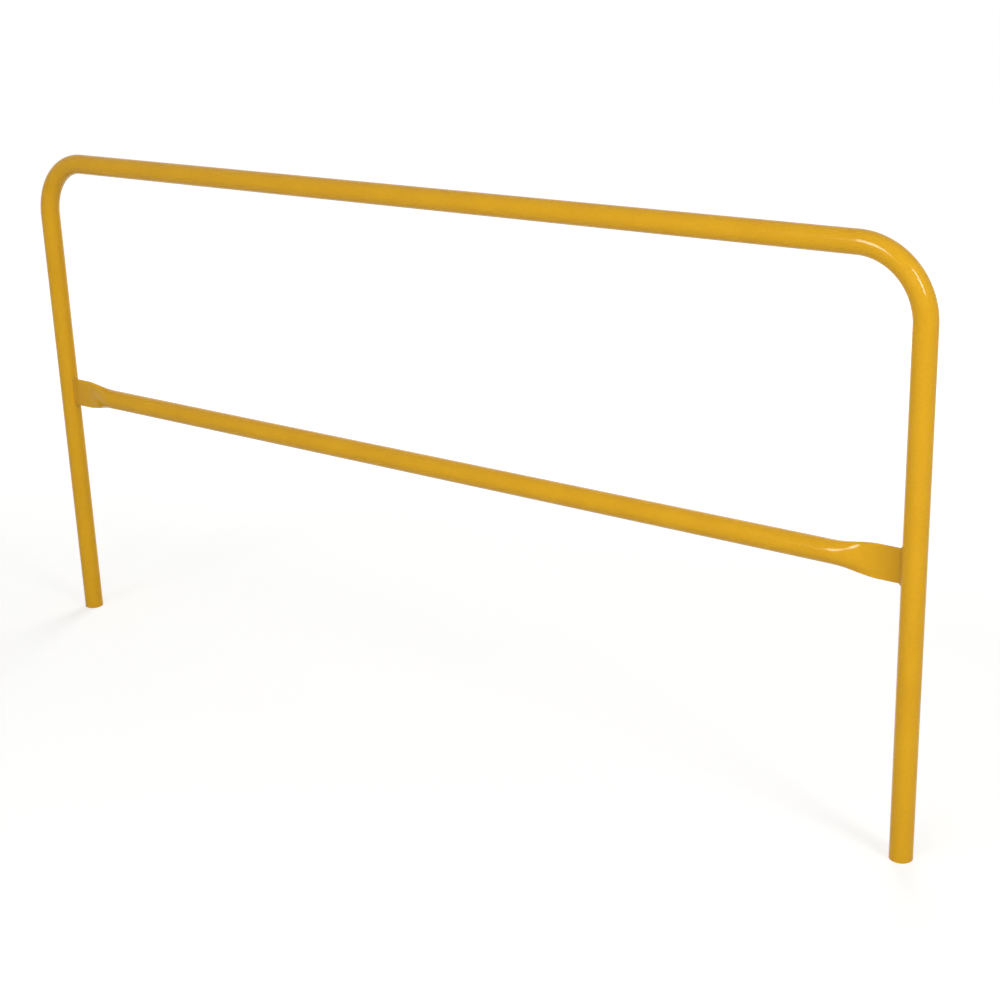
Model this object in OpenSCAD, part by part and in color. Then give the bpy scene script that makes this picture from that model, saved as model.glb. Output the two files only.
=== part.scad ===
// Welded guard rail section: a bent tube hoop with a mid rail whose ends are pressed flat.
// Axes: X runs along the rail, Z is up, the posts stand on Z = 0 and the rail lies in Y = 0.

/* [Rail] */
// Overall length, from outside to outside of the posts
overall_length = 2133.6; // [1200:0.1:3000]
// Overall height, from the foot of the posts to the top of the top rail
overall_height = 1079.5; // [900:0.1:1300]
// Height of the centre of the mid rail above the foot of the posts
mid_rail_height = 533.4; // [200:0.1:700]

/* [Tube] */
// Outside diameter of the tube, the same for the hoop and the mid rail
tube_diameter = 41.3; // [30:0.1:60]
// Wall thickness of the tube
wall_thickness = 2.4; // [1.5:0.1:4]
// Radius of the two corner bends, measured on the centre line of the tube
bend_radius = 120.65; // [70:0.05:200]

/* [Flattened ends] */
// Length of the part that is pressed fully flat, at each end of the mid rail
flat_length = 42; // [15:1:80]
// Length over which the round tube passes into the flat
transition_length = 90; // [40:1:150]
// Slit that the press leaves between the two walls of the flat
pressed_gap = 0.4; // [0.2:0.1:1.5]

/* [Weld] */
// Width of the weld bead, along the flat and along the post
weld_leg = 4.5; // [3:0.5:9]

/* [Hidden] */
$fa = 4;
$fs = 0.8;
tube_radius = tube_diameter / 2;
bore_radius = tube_radius - wall_thickness;
post_x = overall_length / 2 - tube_radius;
top_rail_z = overall_height - tube_radius;
bend_x = post_x - bend_radius;
bend_z = top_rail_z - bend_radius;

// The flat is two walls and the slit; its outline keeps the length of the tube's circumference
flat_thickness = 2 * wall_thickness + pressed_gap;
flat_edge_radius = flat_thickness / 2;
flat_side = PI / 2 * (tube_diameter - flat_thickness);
flat_height = flat_side + flat_thickness;

// The mid rail ends where it meets the near side of each post
rail_end_x = post_x - tube_radius;
flat_start_x = rail_end_x - flat_length;
round_end_x = flat_start_x - transition_length;

// Points of a quarter of the section, closer together towards the edge of the flat
quarter_points = 14;
point_spread = 1.5;
transition_steps = 10;
section_points = 4 * quarter_points;
quarter_length = PI * tube_radius / 2;

// The many-sided section stands just proud of the true circle that it joins
join_play = 0.01;
widest_step = 90 * (1 - pow(1 - 1 / quarter_points, point_spread));
join_radius = (tube_radius + join_play) / cos(widest_step / 2);

// The bead is blunt where it starts on the flat, stands out a little past a straight line at
// half its width, and reaches back into the hollow between the flat and the curve of the post
bead_toe = 0.4;
bead_fullness = 0.6;
bead_reach = flat_edge_radius + weld_leg;
post_curve = tube_radius - sqrt(pow(tube_radius, 2) - pow(bead_reach, 2));

// Length by which a tool passes the face that it cuts
cut = 1;
bead_depth = post_curve + cut;

// Share of the way from round (0) to flat (1), with a smooth start and end
function ease(u) = u * u * (3 - 2 * u);

// Way round a quarter of the section, from the edge at the top (0) to the middle of the side (1)
function along(i) = pow(i / quarter_points, point_spread);

// Point and direction on the round section, each [y, z]
function round_point(a) = join_radius * [sin(90 * a), cos(90 * a)];
function round_way(a) = [cos(90 * a), -sin(90 * a)];

// Point and direction on the flat section at the same way round
edge_share = PI * flat_edge_radius / 2 / quarter_length;
function edge_angle(a) = 90 * min(a / edge_share, 1);
function below_edge(a) = max(a - edge_share, 0) * quarter_length;
function flat_point(a) = [
    flat_edge_radius * sin(edge_angle(a)),
    flat_side / 2 + flat_edge_radius * cos(edge_angle(a)) - below_edge(a)
];
function flat_way(a) = [cos(edge_angle(a)), -sin(edge_angle(a))];

// Blend of the two sections, moved inwards by a wall thickness
function blend_way(a, w) = (1 - w) * round_way(a) + w * flat_way(a);
function outward(v) = [-v[1], v[0]] / norm(v);
function blend_point(a, w, inset) =
    (1 - w) * round_point(a) + w * flat_point(a) - inset * outward(blend_way(a, w));

// Signs and place of point j of the whole section, counted from the top towards +Y
function quadrant(j) = floor(j / quarter_points);
function step_in(j) = j - quadrant(j) * quarter_points;
function place(j) = quadrant(j) % 2 == 0 ? step_in(j) : quarter_points - step_in(j);
function y_sign(j) = quadrant(j) < 2 ? 1 : -1;
function z_sign(j) = quadrant(j) == 0 || quadrant(j) == 3 ? 1 : -1;
function section_point(j, w, inset) =
    let (p = blend_point(along(place(j)), w, inset)) [y_sign(j) * p[0], z_sign(j) * p[1]];

// Rows of the pressed end: the transition, then the end of the flat
function row_share(m) = m > transition_steps ? 1 : ease(m / transition_steps);
function row_x(m, last_x) = m > transition_steps
    ? last_x : round_end_x + transition_length * m / transition_steps;
function row_points(m, inset, last_x) = [
    for (j = [0:section_points - 1])
        let (p = section_point(j, row_share(m), inset)) [row_x(m, last_x), p[0], p[1]]
];
function next(j) = (j + 1) % section_points;

// Solid pressed end, from the round tube to last_x
module pressed_end(inset, last_x) {
    rows = transition_steps + 2;
    points = [for (m = [0:rows - 1]) each row_points(m, inset, last_x)];
    sides = [
        for (m = [0:rows - 2], j = [0:section_points - 1])
            let (here = m * section_points, there = here + section_points)
            each [
                [here + j, here + next(j), there + next(j)],
                [here + j, there + next(j), there + j]
            ]
    ];
    first_cap = [[for (j = [0:section_points - 1]) section_points - 1 - j]];
    last_cap = [[for (j = [0:section_points - 1]) (rows - 1) * section_points + j]];
    polyhedron(points = points, faces = concat(sides, first_cap, last_cap), convexity = 4);
}

// Half of the hoop swept by a round bar, drawn from the centre of the corner bend;
// foot lengthens it below the post
module half_hoop_bar(bar_radius, foot) {
    translate([bend_x, 0, bend_z]) {
        translate([bend_radius, 0, -bend_z - foot])
            cylinder(r = bar_radius, h = bend_z + foot);
        rotate([90, 0, 0])
            rotate_extrude(angle = 90)
                translate([bend_radius, 0])
                    circle(r = bar_radius);
        translate([0, 0, bend_radius])
            rotate([0, -90, 0])
                cylinder(r = bar_radius, h = bend_x);
    }
}

module hoop_bar(bar_radius, foot) {
    half_hoop_bar(bar_radius, foot);
    rotate([0, 0, 180])
        half_hoop_bar(bar_radius, foot);
}

// One tube bent twice: post, corner, top rail, corner, post
module hoop() {
    color([0.87, 0.66, 0.10])
        difference() {
            hoop_bar(tube_radius, 0);
            hoop_bar(bore_radius, cut);
        }
}

// Half of the mid rail: its round part, then the pressed end
module half_rail_bar(bar_radius, inset, past_end) {
    rotate([0, 90, 0])
        cylinder(r = bar_radius, h = round_end_x);
    pressed_end(inset, rail_end_x + past_end);
}

module mid_rail_bar(bar_radius, inset, past_end) {
    half_rail_bar(bar_radius, inset, past_end);
    rotate([0, 0, 180])
        half_rail_bar(bar_radius, inset, past_end);
}

module mid_rail() {
    color([0.87, 0.66, 0.10])
        translate([0, 0, mid_rail_height])
            difference() {
                mid_rail_bar(tube_radius, 0, 0);
                mid_rail_bar(bore_radius, wall_thickness, cut);
            }
}

// Free edge of the bead, as [way from the middle plane of the flat, way along X from the post]
bead_edge = [
    [flat_edge_radius + bead_toe, -weld_leg],
    [flat_edge_radius + bead_fullness * weld_leg, -weld_leg / 2],
    [bead_reach, 0],
    [bead_reach, bead_depth]
];
bead_last = len(bead_edge) - 1;

// Half of the bead, before the post and the flat are taken out of it:
// straight along the side of the flat, then turned round its edge
module half_bead_block() {
    translate([0, 0, flat_side / 2]) {
        rotate([90, 0, 90])
            rotate_extrude(angle = 180)
                polygon(concat([[0, -weld_leg]], bead_edge, [[0, bead_depth]]));
        translate([0, 0, -flat_side / 2])
            linear_extrude(height = flat_side / 2)
                polygon(concat(
                    [for (p = bead_edge) [p[1], p[0]]],
                    [for (i = [bead_last:-1:0]) [bead_edge[i][1], -bead_edge[i][0]]]
                ));
    }
}

module bead_block() {
    half_bead_block();
    rotate([180, 0, 0])
        half_bead_block();
}

module weld() {
    flat_outline = [for (j = [0:section_points - 1]) section_point(j, 1, 0)];
    translate([0, 0, mid_rail_height])
        difference() {
            translate([rail_end_x, 0, 0])
                bead_block();
            translate([post_x, 0, -flat_height])
                cylinder(r = tube_radius, h = 2 * flat_height);
            translate([rail_end_x - weld_leg - cut, 0, 0])
                rotate([90, 0, 90])
                    linear_extrude(height = weld_leg + bead_depth + 2 * cut)
                        polygon(flat_outline);
        }
}

module weld_right() {
    color([0.84, 0.62, 0.10])
        weld();
}

module weld_left() {
    color([0.84, 0.62, 0.10])
        rotate([0, 0, 180])
            weld();
}

hoop();
mid_rail();
weld_left();
weld_right();
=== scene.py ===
# %% [markdown]
# A welded guard rail, built around its CAD frame.
#
# The real thing is one steel tube bent twice, so that it is both posts and the top rail,
# and a second tube across the middle. The ends of the second tube are pressed flat, set
# upright against the posts and welded all round. Everything is then powder coated yellow.
#
# The CAD model already says where each solid is. This lesson builds finer surfaces in the
# same places, gives them a finish, and photographs them in a plain pale studio.

# %% Load the frame
import math

import bpy
import numpy as np
from mathutils import Matrix, Vector


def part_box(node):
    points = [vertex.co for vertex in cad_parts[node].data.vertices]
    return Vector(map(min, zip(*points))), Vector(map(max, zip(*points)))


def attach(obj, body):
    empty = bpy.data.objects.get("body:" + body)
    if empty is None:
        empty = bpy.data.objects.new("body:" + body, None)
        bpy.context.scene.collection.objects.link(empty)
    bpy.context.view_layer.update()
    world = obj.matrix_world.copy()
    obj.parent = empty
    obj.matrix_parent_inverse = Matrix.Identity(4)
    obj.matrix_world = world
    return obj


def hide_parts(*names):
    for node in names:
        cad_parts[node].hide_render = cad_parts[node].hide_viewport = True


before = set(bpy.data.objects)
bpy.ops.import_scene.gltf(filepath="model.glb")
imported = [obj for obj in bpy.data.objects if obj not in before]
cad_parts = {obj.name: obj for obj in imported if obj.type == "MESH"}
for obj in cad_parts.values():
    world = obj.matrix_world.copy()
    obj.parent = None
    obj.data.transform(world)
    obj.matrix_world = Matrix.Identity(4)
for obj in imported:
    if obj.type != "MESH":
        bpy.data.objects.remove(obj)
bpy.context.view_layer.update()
print("CAD nodes:", sorted(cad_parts))

# %% [markdown]
# Sizes come first. A maker reads them off the drawing; here the large ones are read off
# the frame, so that they can't drift from it, and the ones that a box doesn't show, such
# as the wall and the bend, are named once. Blender works in metres, and a tube is talked
# about in millimetres, so one constant turns one into the other.

# %% Sizes of the tubes
MM = 0.001
tube_radius = 20.65 * MM
wall = 2.4 * MM
bore_radius = tube_radius - wall
bend_radius = 120.65 * MM

_, hoop_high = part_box("hoop")
rail_low, rail_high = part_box("mid_rail")
post_x = hoop_high.x - tube_radius
top_z = hoop_high.z - tube_radius
mid_z = (rail_low.z + rail_high.z) / 2
bend_x = post_x - bend_radius
bend_z = top_z - bend_radius
print(f"posts at x = {post_x:.5f}")
print(f"top rail at z = {top_z:.5f}, mid rail at z = {mid_z:.5f}")

# %% [markdown]
# Every new piece is a grid: a surface given by two parameters, one along the piece and
# one round it. A tube that is open at its ends still has to be a closed skin, because it
# has a wall: the outside, the cut rim, the inside and the other rim, back to the start.
# So each grid is closed both ways, like a ring, and has no seam and no pole. Blender could
# also make it with a curve and a Solidify modifier, but the grid puts each row exactly
# where the shape needs it. The first two helpers make the faces and the object. The third
# stores numbers for a material, and the last measures the steel inside a skin, which also
# shows that the faces point outwards.

# %% Helpers for grids
SMOOTH_UP_TO = math.radians(35)  # a fold sharper than this stays a sharp edge


def ring_faces(rows, columns):
    """Quads of a grid closed both ways.

    Corner (i, j) joins (i+1, j), (i+1, j+1) and (i, j+1), counted round, in the order
    that turns the faces outwards when rows run along +X and columns from +Z to +Y.
    """
    i, j = np.meshgrid(np.arange(rows), np.arange(columns), indexing="ij")
    up, on = (i + 1) % rows, (j + 1) % columns
    corners = [(i, j), (up, j), (up, on), (i, on)]
    return np.stack([a * columns + b for a, b in corners], axis=-1).reshape(-1, 4)


def new_piece(name, points, faces):
    """Object at the origin whose mesh holds the points, rows of [x, y, z] in metres."""
    mesh = bpy.data.meshes.new(name)
    mesh.vertices.add(len(points))
    mesh.vertices.foreach_set("co", points.astype(np.float32).ravel())
    mesh.loops.add(faces.size)
    mesh.loops.foreach_set("vertex_index", faces.astype(np.int32).ravel())
    mesh.polygons.add(len(faces))
    mesh.polygons.foreach_set("loop_start", np.arange(0, faces.size, 4, dtype=np.int32))
    mesh.update(calc_edges=True)
    mesh.validate()
    mesh.shade_smooth()
    mesh.set_sharp_from_angle(angle=SMOOTH_UP_TO)
    piece = bpy.data.objects.new(name, mesh)
    bpy.context.scene.collection.objects.link(piece)
    return piece


def set_attribute(piece, name, values):
    """Stores one number per point on the mesh, for a material to read."""
    attribute = piece.data.attributes.new(name, "FLOAT", "POINT")
    attribute.data.foreach_set("value", values.astype(np.float32).ravel())


def volume(piece):
    """Volume inside the skin: a sixth of the sum of each triangle's corner product.

    It is positive only where the faces point outwards.
    """
    mesh = piece.data
    mesh.calc_loop_triangles()
    co = np.zeros(len(mesh.vertices) * 3, np.float32)
    mesh.vertices.foreach_get("co", co)
    corners = np.zeros(len(mesh.loop_triangles) * 3, np.int32)
    mesh.loop_triangles.foreach_get("vertices", corners)
    a, b, c = co.reshape(-1, 3).astype(float)[corners.reshape(-1, 3)].transpose(1, 0, 2)
    return float(np.einsum("ij,ij->i", a, np.cross(b, c)).sum() / 6)


# %% [markdown]
# The hoop is a tube bent cold round a former. Its centre line is three straight lines and
# two quarter circles. The distance along that line is the first parameter, and a wall
# profile is carried along it: out along the outside, round the sawn rim at the foot of a
# post, back along the bore, and round the other rim. A saw leaves a sharp rim, and the
# powder coat rounds it by a few tenths of a millimetre. That little rounding is what
# catches the light, so it is modelled. An extra row stands close to each rim, so that the
# smooth shading of the long straight tube isn't bent by it.

# %% The hoop's centre line
bend_length = bend_radius * math.pi / 2
half_hoop_length = bend_x + bend_length + bend_z


def hoop_line(way):
    """Points and outward directions of the hoop's line, both as [x, z].

    way is the distance from the middle of the top rail, negative to the left. The turn is
    the part of it that lies in the bend, over the bend radius, between 0 and a quarter
    circle; what is left over runs along the top rail or down the post.
    """
    side, far = np.where(way < 0, -1.0, 1.0), np.abs(way)
    turn = np.clip((far - bend_x) / bend_radius, 0, math.pi / 2)
    x = np.minimum(far, bend_x) + bend_radius * np.sin(turn)
    z = bend_z + bend_radius * np.cos(turn) - np.maximum(far - bend_x - bend_length, 0)
    return (
        np.stack([side * x, z], axis=-1),
        np.stack([side * np.sin(turn), np.cos(turn)], axis=-1),
    )


print(f"the hoop's tube is {2 * half_hoop_length:.4f} m long before bending")

# %% The hoop
round_steps = 96
bend_steps = 48
rim_rounding = 0.45 * MM
rim_steps = 5
beside_rim = 1.5 * MM
straight_step = 60 * MM

past_bend = bend_x + bend_length
last_row = half_hoop_length - rim_rounding
half_way = np.concatenate([
    np.linspace(0, bend_x, round(bend_x / straight_step), endpoint=False),
    np.linspace(bend_x, past_bend, bend_steps, endpoint=False),
    np.linspace(past_bend, last_row - beside_rim, round(bend_z / straight_step)),
    [last_row],
])
whole_way = np.concatenate([-half_way[:0:-1], half_way])


def rim_profile(end):
    """Way and radius of the rim at one end of the tube, from the outside to the bore.

    Two quarter circles of the rounding, with the flat of the wall between them.
    """
    turn = np.linspace(0, math.pi / 2, rim_steps)
    way = half_hoop_length - rim_rounding * (1 - np.sin(turn))
    outside = tube_radius - rim_rounding * (1 - np.cos(turn))
    inside = bore_radius + rim_rounding * (1 - np.cos(turn))
    return end * np.concatenate([way, way[::-1]]), np.concatenate([outside, inside[::-1]])


right_way, right_radius = rim_profile(1)
left_way, left_radius = rim_profile(-1)
between_rims = whole_way[1:-1]  # the rims bring their own first and last row
profile_way = np.concatenate([
    between_rims, right_way, between_rims[::-1], left_way[::-1],
])
profile_radius = np.concatenate([
    np.full_like(between_rims, tube_radius), right_radius,
    np.full_like(between_rims, bore_radius), left_radius[::-1],
])


def tube_grid(way, radius):
    """Grid of a wall profile carried along the hoop's line.

    point = line(way) + radius (cos angle outward + sin angle Y)
    """
    angle = np.linspace(0, 2 * math.pi, round_steps, endpoint=False)
    line, outward = hoop_line(way)
    off_line = radius[:, None] * np.cos(angle)
    x = line[:, :1] + off_line * outward[:, :1]
    z = line[:, 1:] + off_line * outward[:, 1:]
    y = radius[:, None] * np.sin(angle)
    return np.stack([x, y, z], axis=-1)


hoop_grid = tube_grid(profile_way, profile_radius)
hoop_faces = ring_faces(*hoop_grid.shape[:2])
hoop = new_piece("hoop_tube", hoop_grid.reshape(-1, 3), hoop_faces)
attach(hoop, "root")
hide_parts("hoop")
print(f"hoop: {len(hoop_faces)} quads, {volume(hoop) * 1e6:.1f} cm3 of steel")

# %% [markdown]
# The powder is blown at the rail from outside, and it reaches only a little way up the
# open ends of the posts. So the bore is bare steel with yellow overspray near the rim. The
# faces of the bore get a material of their own, which needs to know how deep in each
# point lies; a second number says how thin the coat is, which it is on the sharp rim.

# %% What the hoop's materials need to know
past_start = 0.999  # leaves out the row where the rounding only starts

depth = half_hoop_length - np.abs(profile_way)
set_attribute(hoop, "depth", np.repeat(depth, round_steps))
on_rim = (depth < past_start * rim_rounding).astype(float)
set_attribute(hoop, "rim_thin_and_corner_shade", np.repeat(on_rim, round_steps))

in_bore = (profile_radius < bore_radius + wall / 2) & (depth > rim_rounding / 2)
bore_row = in_bore & np.roll(in_bore, -1)  # a row of faces is named by its first row
hoop.data.polygons.foreach_set(
    "material_index", np.repeat(bore_row, round_steps).astype(np.int32)
)
print(f"bore: {int(bore_row.sum()) * round_steps} of {len(hoop_faces)} faces")

# %% [markdown]
# The mid rail is round between its ends. Each end goes into a press, which closes the
# tube to two walls lying on each other. Steel hardly stretches in a press, so the way
# round the section stays the same: a circle 41.3 mm across becomes a flat 62 mm high. The
# walls pass from one to the other over 90 mm in a smooth S.
#
# This could be sculpted, but a formula is truer. Each point of the section keeps its
# share of the way round. The same share is found on the circle and on the flat, and the
# point moves from one to the other by a weight that eases in and out along the tube.

# %% The pressed section
flat_length = 42 * MM
transition_length = 90 * MM
slit = 0.4 * MM
flat_thickness = 2 * wall + slit
edge_radius = flat_thickness / 2
flat_side = math.pi / 2 * (2 * tube_radius - flat_thickness)
quarter_length = math.pi * tube_radius / 2

quarter_steps = 32
crowding = 1.5  # above 1, points crowd to the top and bottom, where the flat turns


def flat_quarter(share):
    """A quarter of the flat's outline, at shares of its length from the top: y, z, outward.

    First a quarter of the small round edge, then straight down the side.
    """
    round_share = math.pi * edge_radius / 2 / quarter_length
    turn = math.pi / 2 * np.minimum(share / round_share, 1)
    below = np.maximum(share - round_share, 0) * quarter_length
    y = edge_radius * np.sin(turn)
    z = flat_side / 2 + edge_radius * np.cos(turn) - below
    return y, z, np.sin(turn), np.cos(turn)


def quarter_signs(steps):
    """For points counted round from the top: share of the quarter, signs of y and z."""
    quarter, step = np.divmod(np.arange(4 * steps), steps)
    share = np.where(quarter % 2 == 0, step, steps - step) / steps
    y_sign = np.where(quarter < 2, 1.0, -1.0)
    z_sign = np.where((quarter + 1) % 4 < 2, 1.0, -1.0)
    return share, y_sign, z_sign


def pressed_section(weight, inset):
    """Sections [y, z] of the pressed tube, one for each weight, moved in by inset.

    point = (1 - weight) circle + weight flat - inset times the unit outward direction,
    which is blended from the two outlines in the same way.
    """
    share, y_sign, z_sign = quarter_signs(quarter_steps)
    share = share**crowding
    flat_y, flat_z, flat_out_y, flat_out_z = flat_quarter(share)
    turn = math.pi / 2 * share
    w = weight[:, None]
    out_y = (1 - w) * np.sin(turn) + w * flat_out_y
    out_z = (1 - w) * np.cos(turn) + w * flat_out_z
    size = np.hypot(out_y, out_z)
    y = (1 - w) * tube_radius * np.sin(turn) + w * flat_y - inset * out_y / size
    z = (1 - w) * tube_radius * np.cos(turn) + w * flat_z - inset * out_z / size
    return y_sign * y, z_sign * z


print(f"the pressed end is {(flat_side + flat_thickness) / MM:.2f} mm high in the formula,")
print(f"and {(rail_high.z - rail_low.z) / MM:.2f} mm high in the frame")

# %% The mid rail
transition_rows = 40
flat_rows = 6
rail_end = post_x - tube_radius
flat_start = rail_end - flat_length
round_end = flat_start - transition_length
half_rail = np.concatenate([
    np.linspace(0, round_end, round(round_end / straight_step), endpoint=False),
    np.linspace(round_end, flat_start, transition_rows, endpoint=False),
    np.linspace(flat_start, rail_end, flat_rows),
])
whole_rail = np.concatenate([-half_rail[:0:-1], half_rail])


def press_weight(x):
    """0 where the tube is round and 1 where it is flat; between them u u (3 - 2 u)."""
    u = np.clip((np.abs(x) - round_end) / transition_length, 0, 1)
    return u * u * (3 - 2 * u)


def rail_rows(x, inset):
    """Grid of one skin of the mid rail: its outside, or its bore, inset by the wall."""
    y, z = pressed_section(press_weight(x), inset)
    return np.stack([np.broadcast_to(x[:, None], y.shape), y, mid_z + z], axis=-1)


rail_grid = np.concatenate([rail_rows(whole_rail, 0), rail_rows(whole_rail[::-1], wall)])
rail_faces = ring_faces(*rail_grid.shape[:2])
mid_rail = new_piece("mid_rail_tube", rail_grid.reshape(-1, 3), rail_faces)

# Painted shade: the coat colour is darkened towards the post, fading over a short reach,
# where the post shades the flat
painted_corner_shade = 0.5
corner_shade_reach = 14 * MM
from_post = rail_end - np.abs(rail_grid[..., 0])
set_attribute(mid_rail, "rim_thin_and_corner_shade", painted_corner_shade * np.exp(-from_post / corner_shade_reach))
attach(mid_rail, "root")
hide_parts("mid_rail")
print(f"mid rail: {len(rail_faces)} quads, {volume(mid_rail) * 1e6:.1f} cm3 of steel")

# %% [markdown]
# A fillet weld runs all round each pressed end, in the corner between the flat and the
# post. A welder moves in small steps, so the bead is a row of overlapping puddles: its
# face is a little convex, it ripples every few millimetres, and its edges wander. The
# coat fills the finest of that.
#
# The bead is a closed section carried round the outline of the flat. Its face runs from
# the toe on the flat to the toe on the post, and its back is sunk a little into both, so
# that no gap shows. The distance from the post is measured from the post's own curve.

# %% Ripples and wander of a bead
weld_leg = 4.5 * MM
ripple_spacing = 2.6 * MM
ripple_height = 0.35 * MM
puddle_crest = 0.4725  # the highest that saw (1 - saw^3) gets
puddle_bow = 0.35  # how far a puddle's edge curves back at its toes, in spacings
toe_wander = 0.3 * MM
wander_length = np.array([5.3, 3.1, 9.7]) * MM
wander_start = np.array([1.0, 2.1, 0.7])


def bead_ripple(way, across, start):
    """Height of the puddles: rises slowly and drops quickly, once each spacing.

    Over one spacing the height is saw (1 - saw^3), divided by its highest value. The phase
    bends with the square of the distance from the middle of the face, which turns straight
    ridges into crescents. It fades to nothing at both toes.
    """
    phase = way / ripple_spacing + start - puddle_bow * (2 * across - 1) ** 2
    saw = phase - np.floor(phase)
    bump = saw * (1 - saw**3) / puddle_crest
    return ripple_height * bump * np.sin(math.pi * across)


def bead_wander(way, start):
    """Slow change of the bead's size: the mean of three waves of unrelated lengths."""
    waves = np.sin(way / wander_length + start * wander_start)
    return toe_wander * waves.mean(axis=1, keepdims=True)


print(f"a puddle every {ripple_spacing / MM} mm, {ripple_height / MM} mm high")

# %% The weld beads
face_power = 1.7  # 2 would be a straight face and 1 a quarter of a circle
face_steps = 14
bead_quarter_steps = 72
bead_crowding = 1.2
back_share = 0.7  # of the leg, to which the bead's hidden back reaches
sunk = 0.35 * MM


def weld_bead(name, node, side, start):
    """Bead round one pressed end; side is 1 for the right post and -1 for the left one.

    across goes from the toe on the flat, 0, to the toe on the post, 1. Out from the flat
    the face is at leg times sin(a)^power, and away from the post at leg times
    cos(a)^power, where a is across times a quarter circle. start shifts the ripple and
    the wander, so that the two beads aren't alike.
    """
    share, y_sign, z_sign = quarter_signs(bead_quarter_steps)
    y, z, out_y, out_z = flat_quarter(share**bead_crowding)
    y, z = y_sign * y, z_sign * z
    out_y, out_z = y_sign * out_y, z_sign * out_z
    step = np.hypot(np.diff(y, append=y[0]), np.diff(z, append=z[0]))
    way = (np.cumsum(step) - step)[:, None]

    across = np.linspace(0, 1, face_steps)[None, :]
    leg = weld_leg + bead_wander(way, start)
    puff = bead_ripple(way, across, start)
    a = math.pi / 2 * across
    out = leg * np.sin(a) ** face_power + puff * np.sin(a)
    off = leg * np.cos(a) ** face_power + puff * np.cos(a)

    # The back: under the post's skin, in the corner, and under the skin of the flat
    back, under = back_share * leg, np.full_like(leg, -sunk)
    out = np.hstack([out, back, under, under])
    off = np.hstack([off, under, under, back])

    bead_y = y[:, None] + out * out_y[:, None]
    bead_z = z[:, None] + out * out_z[:, None]
    post_skin = post_x - np.sqrt(tube_radius**2 - bead_y**2)
    bead_x = post_skin - off
    points = np.stack([side * bead_x, side * bead_y, mid_z + bead_z], axis=-1)
    faces = ring_faces(*points.shape[:2])[:, ::-1]  # these rows run round, not along
    bead = new_piece(name, points.reshape(-1, 3), faces)
    # Painted shade: the whole bead is darkened by the same amount, for the shade in the
    # corner between the flat and the post
    set_attribute(bead, "rim_thin_and_corner_shade", np.full(points.shape[:2], painted_corner_shade))
    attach(bead, "root")
    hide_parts(node)
    print(f"{name}: {len(faces)} quads, {volume(bead) * 1e6:.2f} cm3")
    return bead


bead_right = weld_bead("weld_bead_right", "weld_right", side=1, start=0.4)
bead_left = weld_bead("weld_bead_left", "weld_left", side=-1, start=2.9)

# %% [markdown]
# Now the finish. Powder coat is a polyester powder, charged so that it clings to the
# steel, then baked until it melts into a film about 0.08 mm thick. It is a dielectric with
# an index of refraction near 1.5, opaque and evenly coloured, so all its depth comes from
# gloss. Two things tell it from wet paint: it levels out less, which leaves the fine
# waviness called orange peel, a few millimetres from crest to crest, and its gloss is a
# little soft. Safety yellow is a warm yellow that leans to orange.
#
# A colour is written as it would be in a paint program, as sRGB hex, and one function
# turns it to the linear numbers that Blender wants. One more function adds a node.

# %% Helpers for materials
def linear(hex_colour):
    """Linear RGBA of an sRGB hex colour.

    Each channel is c / 12.92 up to 0.04045, and above it ((c + 0.055) / 1.055)^2.4.
    """
    c = np.array([int(hex_colour[k : k + 2], 16) for k in (1, 3, 5)]) / 255
    c = np.where(c <= 0.04045, c / 12.92, ((c + 0.055) / 1.055) ** 2.4)
    return (*c.tolist(), 1.0)


def new_material(name):
    """Empty node material, and its tree."""
    material = bpy.data.materials.new(name)
    material.use_nodes = True
    material.node_tree.nodes.clear()
    return material, material.node_tree


def add(tree, kind, inputs=None, **settings):
    """Adds a node, with its settings, and its inputs as numbers or as sockets to link."""
    node = tree.nodes.new("ShaderNode" + kind)
    for key, value in settings.items():
        setattr(node, key, value)
    for key, value in (inputs or {}).items():
        if isinstance(value, bpy.types.NodeSocket):
            tree.links.new(value, node.inputs[key])
        else:
            node.inputs[key].default_value = value
    return node


# %% Colours and sizes of the coat
coat_colour = "#E3AB1F"
coat_deep = "#DDA41E"  # where the film is thickest it looks a touch deeper
# The next colour is the real thin coat on the sawn rim, and painted shade in the corner by
# the post and on the beads
coat_thin_and_shade = "#B07F2A"  # on a rim or in a corner, where steel shows faintly through
peel_crest = 3 * MM  # crest to crest, the usual few millimetres of orange peel
long_crest = 11 * MM  # slower waves, left where the gun passed
cloud_crest = 90 * MM  # the film is thicker in one place and thinner in another
thin_film, thick_film = 0.75, 1.25  # of two noises added, so about 1 in the middle
noise_low, noise_high = 0.3, 0.7  # a noise is seldom outside these
glossiest, softest = 0.1, 0.14  # roughness

# Real peel is about a hundredth of a millimetre high. From where the camera stands that
# wouldn't show, so the waves are drawn several times higher, at their real spacing.
peel_height = 0.07 * MM
long_height = 0.09 * MM

# A real coat mirrors as much as its index of refraction says, which is level 0.5. The
# surround that mirror rays see here is whiter than a real studio, and would lay a pale
# veil over the yellow, so the level is matched to the photograph instead.
coat_index = 1.5
mirror_level = 0.1
print("powder coat: orange peel every", peel_crest / MM, "mm")

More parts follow.
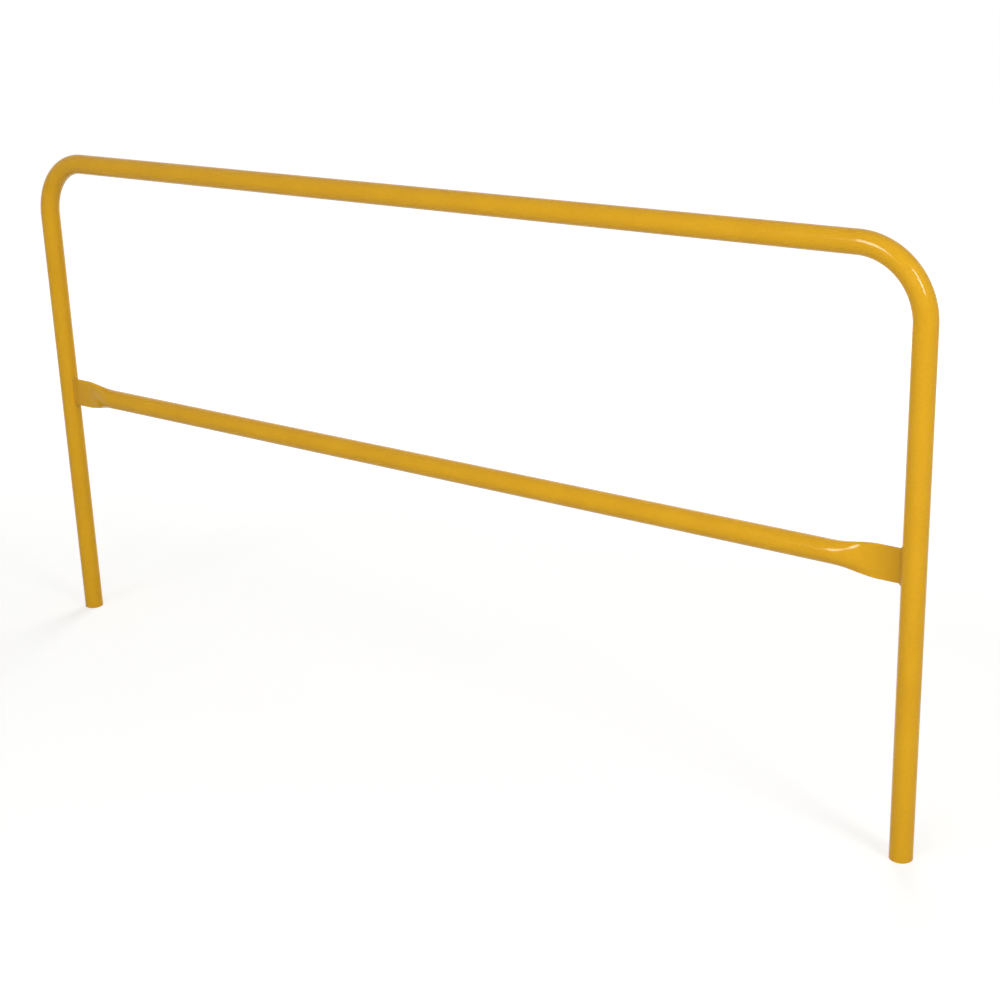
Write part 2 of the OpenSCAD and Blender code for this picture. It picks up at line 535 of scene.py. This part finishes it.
# %% Powder coat, safety yellow
powder_coat, coat = new_material("powder_coat_safety_yellow")
place = add(coat, "TexCoord").outputs["Object"]
peel = add(coat, "TexNoise", {
    "Vector": place, "Scale": 1 / peel_crest, "Detail": 1.5, "Roughness": 0.4,
}).outputs["Fac"]
slow = add(coat, "TexNoise", {
    "Vector": place, "Scale": 1 / long_crest, "Detail": 1.0, "Roughness": 0.4,
}).outputs["Fac"]
cloud = add(coat, "TexNoise", {
    "Vector": place, "Scale": 1 / cloud_crest, "Detail": 3.0,
}).outputs["Fac"]
peel_bump = add(coat, "Bump", {"Height": peel, "Strength": 1.0, "Distance": peel_height})
slow_bump = add(coat, "Bump", {
    "Height": slow, "Strength": 1.0, "Distance": long_height,
    "Normal": peel_bump.outputs["Normal"],
})
thick = add(coat, "Math", {0: peel, 1: cloud}, operation="ADD").outputs["Value"]
deep = add(coat, "MapRange", {
    "Value": thick, "From Min": thin_film, "From Max": thick_film,
}).outputs["Result"]
body = add(coat, "Mix", {
    "Factor": deep, "A": linear(coat_colour), "B": linear(coat_deep),
}, data_type="RGBA").outputs["Result"]
# The stored number darkens the coat: on the sawn rim of the hoop it is the real thin coat,
# and on the mid rail by the post and on the beads it is painted shade
rim_thin_and_corner_shade = add(coat, "Attribute", attribute_name="rim_thin_and_corner_shade").outputs["Fac"]
film_and_shade = add(coat, "Mix", {
    "Factor": rim_thin_and_corner_shade, "A": body, "B": linear(coat_thin_and_shade),
}, data_type="RGBA").outputs["Result"]
gloss = add(coat, "MapRange", {
    "Value": slow, "From Min": noise_low, "From Max": noise_high,
    "To Min": glossiest, "To Max": softest,
}).outputs["Result"]
surface = add(coat, "BsdfPrincipled", {
    "Base Color": film_and_shade, "Roughness": gloss, "Normal": slow_bump.outputs["Normal"],
    "IOR": coat_index, "Specular IOR Level": mirror_level,
})
add(coat, "OutputMaterial", {"Surface": surface.outputs["BSDF"]})
print("powder coat:", len(coat.nodes), "nodes")

# %% [markdown]
# Inside the posts is the tube as the mill left it: plain steel with a thin dark oxide and
# fine lines drawn along the tube. Overspray drifts in and thins out over some 45 mm, in
# specks rather than as a film. The depth that was stored on the mesh gives the fade, and
# a noise with specks about 1.5 mm apart breaks it up.

# %% Mill steel with overspray
oxide_dark, oxide_light = "#4A4744", "#77736E"
patch_crest = 14 * MM
line_crest, line_length, line_height = 1.5 * MM, 40 * MM, 0.02 * MM
polished, matt = 0.38, 0.55
bare_metallic = 0.85  # the oxide hides some of the metal
speck_crest = 1.5 * MM
overspray_reach = 45 * MM
spray_at_rim = 1.25  # added to a noise of about 0.5, so the film is whole there
bare_below, covered_above = 0.72, 0.9

bore_steel, steel = new_material("mill_steel_bore")
place = add(steel, "TexCoord").outputs["Object"]
stretch = (1 / line_crest, 1 / line_crest, 1 / line_length)
along = add(steel, "Mapping", {"Vector": place, "Scale": stretch}).outputs["Vector"]
lines = add(steel, "TexNoise", {
    "Vector": along, "Scale": 1.0, "Detail": 3.0,
}).outputs["Fac"]
patch = add(steel, "TexNoise", {
    "Vector": place, "Scale": 1 / patch_crest, "Detail": 4.0,
}).outputs["Fac"]
dots = add(steel, "TexNoise", {
    "Vector": place, "Scale": 1 / speck_crest, "Detail": 2.0,
}).outputs["Fac"]
depth_in = add(steel, "Attribute", attribute_name="depth").outputs["Fac"]
fade = add(steel, "MapRange", {
    "Value": depth_in, "From Min": 0.0, "From Max": overspray_reach,
    "To Min": spray_at_rim, "To Max": 0.0,
}).outputs["Result"]
specks = add(steel, "Math", {0: fade, 1: dots}, operation="ADD").outputs["Value"]
sprayed = add(steel, "MapRange", {
    "Value": specks, "From Min": bare_below, "From Max": covered_above,
}).outputs["Result"]
oxide = add(steel, "Mix", {
    "Factor": patch, "A": linear(oxide_dark), "B": linear(oxide_light),
}, data_type="RGBA").outputs["Result"]
colour = add(steel, "Mix", {
    "Factor": sprayed, "A": oxide, "B": linear(coat_colour),
}, data_type="RGBA").outputs["Result"]
metal = add(steel, "MapRange", {
    "Value": sprayed, "To Min": bare_metallic, "To Max": 0.0,
}).outputs["Result"]
rough = add(steel, "MapRange", {
    "Value": lines, "From Min": noise_low, "From Max": noise_high,
    "To Min": polished, "To Max": matt,
}).outputs["Result"]
drawn = add(steel, "Bump", {"Height": lines, "Strength": 1.0, "Distance": line_height})
surface = add(steel, "BsdfPrincipled", {
    "Base Color": colour, "Metallic": metal, "Roughness": rough,
    "Normal": drawn.outputs["Normal"],
})
add(steel, "OutputMaterial", {"Surface": surface.outputs["BSDF"]})

for piece in (hoop, mid_rail, bead_left, bead_right):
    piece.data.materials.append(powder_coat)
hoop.data.materials.append(bore_steel)
print("materials:", [m.name for m in hoop.data.materials])

# %% [markdown]
# The studio is a pale floor and a white surround. The eye of the camera, a mirror ray and
# a ray through glass should all see plain white, while the light that falls on the rail
# stays at an ordinary level. Light Path tells the rays apart: the first three see white,
# and the rest see a soft grey. The floor is lit like any surface, so it keeps the rail's
# shadow, and only what the camera sees of it is lifted to white. Its own colour is a
# light grey, because white paint would throw too much light up at the rail.

# %% Floor and surround
WHITE = (1, 1, 1, 1)
ambient = 0.4
floor_grey = "#BEBEBC"
lift_near, lift_far = 0.56, 0.81  # the lamps reach the floor only round the rail
near_floor, far_floor = 1.2, 5.0  # metres from the middle of the rail
floor_half = 60.0


def seen_directly(tree):
    """1 for camera, mirror and transmission rays, 0 for the rest."""
    path = add(tree, "LightPath").outputs
    camera_or_mirror = add(tree, "Math", {
        0: path["Is Camera Ray"], 1: path["Is Glossy Ray"],
    }, operation="MAXIMUM").outputs["Value"]
    return add(tree, "Math", {
        0: camera_or_mirror, 1: path["Is Transmission Ray"],
    }, operation="MAXIMUM").outputs["Value"]


world = bpy.data.worlds.new("studio_surround")
world.use_nodes = True
tree = world.node_tree
tree.nodes.clear()
shade = add(tree, "MapRange", {
    "Value": seen_directly(tree), "To Min": ambient, "To Max": 1.0,
}).outputs["Result"]
sky = add(tree, "Background", {"Color": WHITE, "Strength": shade})
add(tree, "OutputWorld", {"Surface": sky.outputs["Background"]})
bpy.context.scene.world = world

floor_paint, tree = new_material("pale_floor")
place = add(tree, "TexCoord").outputs["Object"]
away = add(tree, "VectorMath", {0: place}, operation="LENGTH").outputs["Value"]
needed = add(tree, "MapRange", {
    "Value": away, "From Min": near_floor, "From Max": far_floor,
    "To Min": lift_near, "To Max": lift_far,
}).outputs["Result"]
lift = add(tree, "Math", {
    0: seen_directly(tree), 1: needed,
}, operation="MULTIPLY").outputs["Value"]
surface = add(tree, "BsdfPrincipled", {
    "Base Color": linear(floor_grey), "Roughness": 0.9, "Specular IOR Level": 0.0,
    "Emission Color": WHITE, "Emission Strength": lift,
})
add(tree, "OutputMaterial", {"Surface": surface.outputs["BSDF"]})
floor_paint.cycles.emission_sampling = "NONE"

corner = np.array([[-1, -1, 0], [1, -1, 0], [1, 1, 0], [-1, 1, 0]]) * floor_half
floor = new_piece("floor", corner, np.array([[0, 1, 2, 3]]))
floor.data.materials.append(floor_paint)
print("floor:", 2 * floor_half, "m square")

# %% [markdown]
# The two cream streaks on the near bend say where the bright lamps stood: a low wide box
# in front and to the left, and a tall narrow one to the right. The shading of the tubes
# says where most of the light came from: softly from the front, and more from the right.
# The two don't agree on strength, because the real studio round the lamps was darker than
# this white one. So each lamp does one of the two jobs: four soft boxes light the colour
# and are left out of mirror rays, and two make only the streaks. One of the four stands
# behind, so that the back of the rail isn't dull. It stands low, because light from high
# up behind would whiten the tops of the tubes in the main view.

# %% Lights
def soft_box(name, azimuth, elevation, distance, size, watts, aim, streaks):
    """Area light looking at aim from a direction: azimuth 0 is -Y and 90 is +X."""
    a, e = math.radians(azimuth), math.radians(elevation)
    away = Vector((math.sin(a) * math.cos(e), -math.cos(a) * math.cos(e), math.sin(e)))
    data = bpy.data.lights.new(name, "AREA")
    data.shape, data.energy = "RECTANGLE", watts
    data.size, data.size_y = size
    lamp = bpy.data.objects.new(name, data)
    turned = away.to_track_quat("Z", "Y").to_matrix().to_4x4()
    lamp.matrix_world = Matrix.Translation(Vector(aim) + away * distance) @ turned
    lamp.visible_camera = False
    lamp.visible_glossy, lamp.visible_diffuse = streaks, not streaks
    bpy.context.scene.collection.objects.link(lamp)


rail_middle = (0.3, 0, 0.6)  # a little towards the near post, which fills more of the view
near_bend = (bend_x, 0, bend_z)

# Name, azimuth and elevation in degrees, distance and size in metres, power in watts
colour_boxes = [
    ("front_soft", 18, 20, 3.0, (1.4, 1.0), 24),
    ("left_soft", -16, 25, 4.5, (1.7, 1.0), 33),
    ("right_soft", 75, 22, 4.5, (1.2, 1.2), 63),
    ("back_soft", 205, 18, 4.5, (2.4, 1.6), 95),
]
streak_boxes = [
    ("front_streak", -15.5, 25, 4.5, (1.4, 1.3), 225),
    ("side_streak", 57, 30, 4.5, (0.9, 2.1), 280),
]
for box in colour_boxes:
    soft_box(*box, aim=rail_middle, streaks=False)
for box in streak_boxes:
    soft_box(*box, aim=near_bend, streaks=True)
print(len(colour_boxes), "boxes light the colour,", len(streak_boxes), "make the streaks")

# %% [markdown]
# The camera was worked out from the photograph, by fitting the outlines of the tubes: its
# place, where it looks, and its lens. It stands to the right of the rail and a little
# above it, so the near post looks taller than the far one.

# %% Camera
camera_at = (2.1898, -2.5584, 1.6120)
yaw, pitch, roll = 0.6618, 0.3316, -0.0327  # radians: to the left of +Y, down, and tilt
lens_mm, sensor_mm = 64.725, 36.0
sees_to = 300  # metres, past the far corner of the floor


def camera_axes():
    """Right, up and back of the camera, from its yaw, pitch and roll."""
    forward = np.array([
        -math.sin(yaw) * math.cos(pitch), math.cos(yaw) * math.cos(pitch), -math.sin(pitch),
    ])
    level = np.array([math.cos(yaw), math.sin(yaw), 0.0])
    above = np.cross(level, forward)
    right = math.cos(roll) * level + math.sin(roll) * above
    up = -math.sin(roll) * level + math.cos(roll) * above
    return right, up, -forward


camera_data = bpy.data.cameras.new("camera")
camera_data.lens, camera_data.sensor_width = lens_mm, sensor_mm
camera_data.clip_end = sees_to
camera = bpy.data.objects.new("camera", camera_data)
turn = np.eye(4)
turn[:3, :3] = np.stack(camera_axes(), axis=1)
turn[:3, 3] = camera_at
camera.matrix_world = Matrix(turn.tolist())
bpy.context.scene.collection.objects.link(camera)
bpy.context.scene.camera = camera
bpy.context.scene.view_settings.view_transform = "Standard"
print("camera at", camera_at)
